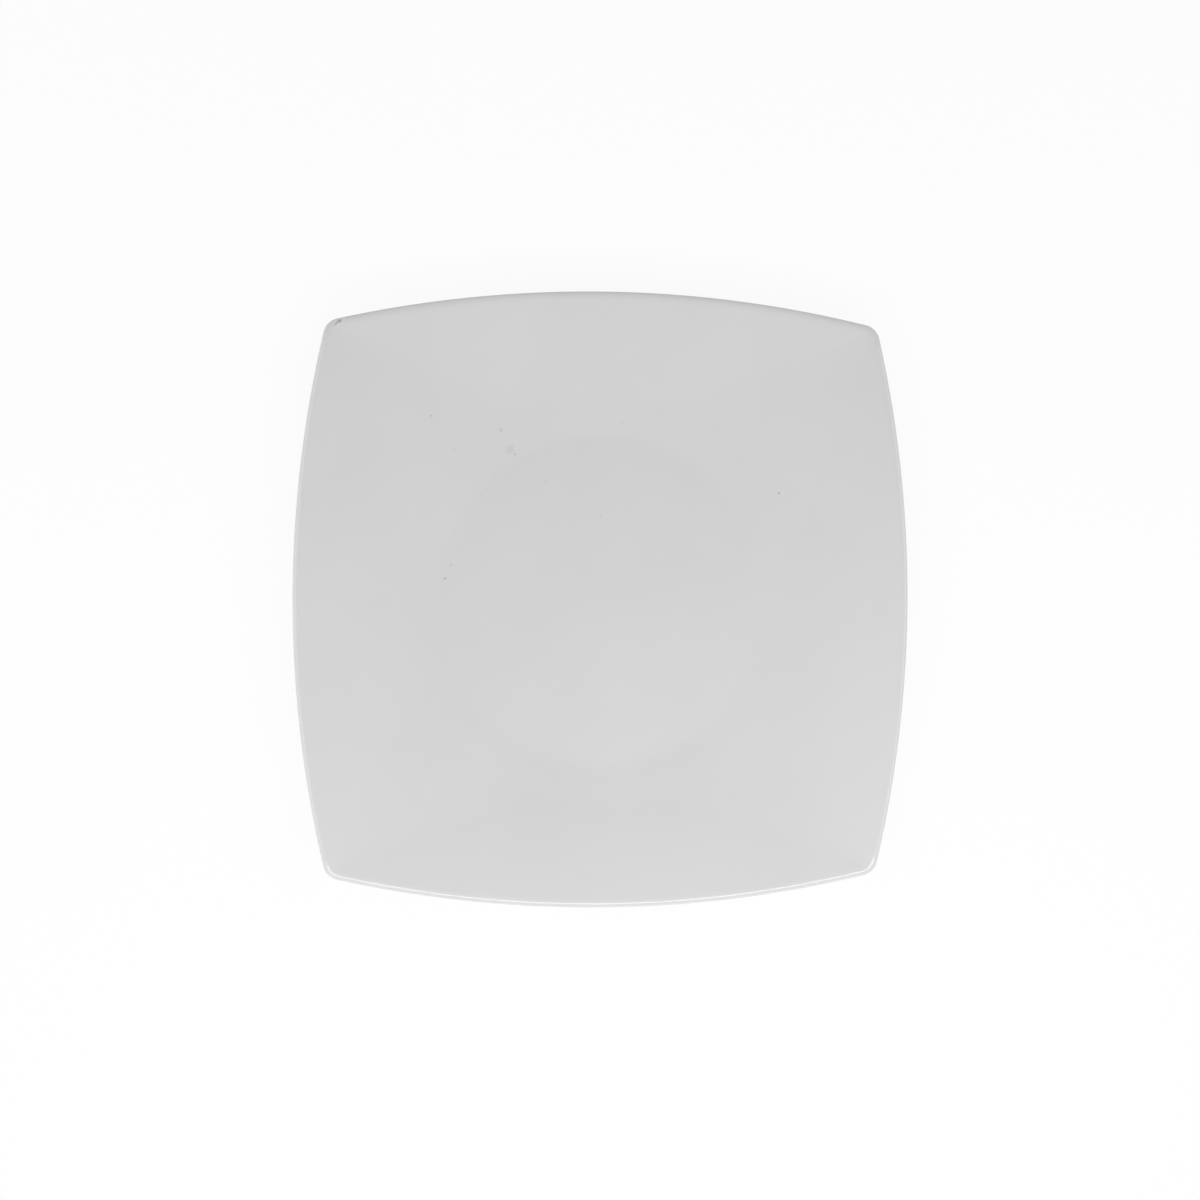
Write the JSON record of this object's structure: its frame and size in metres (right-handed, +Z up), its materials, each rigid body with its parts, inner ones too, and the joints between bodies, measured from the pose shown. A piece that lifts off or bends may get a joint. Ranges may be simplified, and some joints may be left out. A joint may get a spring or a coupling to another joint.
{
  "type": "plate",
  "caption": "Square glazed porcelain plate with bowed sides, small rounded corners, a shallow round well and a bare foot ring.",
  "frame": {"origin": "middle of the foot ring's standing face, on the table", "axes": "+Z up out of the well; X and Y through the middles of the four sides"},
  "size_m": [0.265, 0.265, 0.0223],
  "materials": {
    "bare_porcelain": "matt, finely ground",
    "glaze": "gloss"
  },
  "bodies": {
    "root": {"porcelain_body": "bare_porcelain", "glaze_coat": "glaze", "recess_glaze": "glaze"}
  },
  "joints": []
}
